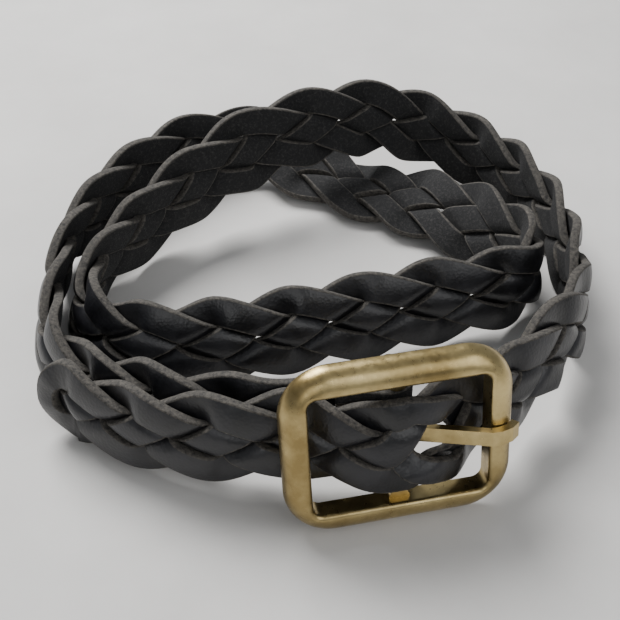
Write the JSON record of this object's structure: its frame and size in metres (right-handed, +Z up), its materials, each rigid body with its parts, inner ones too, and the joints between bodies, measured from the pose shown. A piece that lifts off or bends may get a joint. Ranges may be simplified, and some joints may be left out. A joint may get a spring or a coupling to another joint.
{
  "type": "braided leather headband",
  "caption": "Flat braided leather band coiled about twice round, its free end passed through a small centre-bar buckle with a swinging tongue.",
  "frame": {"origin": "middle of the coiled band's footprint on the surface it stands on", "axes": "+Z up, -Y towards the side with the buckle, +X along the front from the free tip towards the buckle"},
  "size_m": [0.0972, 0.0997, 0.0272],
  "materials": {
    "black_leather": "charcoal black, satin outer face, matt fibrous inner face, raw paler cut edges",
    "antique_brass": "satin, lightly antiqued, brushed along the frame"
  },
  "bodies": {
    "band": {"lace_1": "black_leather", "lace_2": "black_leather", "lace_3": "black_leather", "lace_4": "black_leather"},
    "buckle": {"buckle_frame": "antique_brass"},
    "tongue": {"tongue": "antique_brass"}
  },
  "joints": [
    {"name": "buckle_swing", "type": "hinge", "parent": "band", "child": "buckle", "pos_m": [0.01179, -0.03833, 0.01281], "axis": [-0.0503, 0.2366, 0.9703], "range_deg": [-2, 2]},
    {"name": "tongue_hinge", "type": "hinge", "parent": "buckle", "child": "tongue", "pos_m": [0.01179, -0.03833, 0.01281], "axis": [0.0503, -0.2366, -0.9703], "range_deg": [0, 30]}
  ]
}
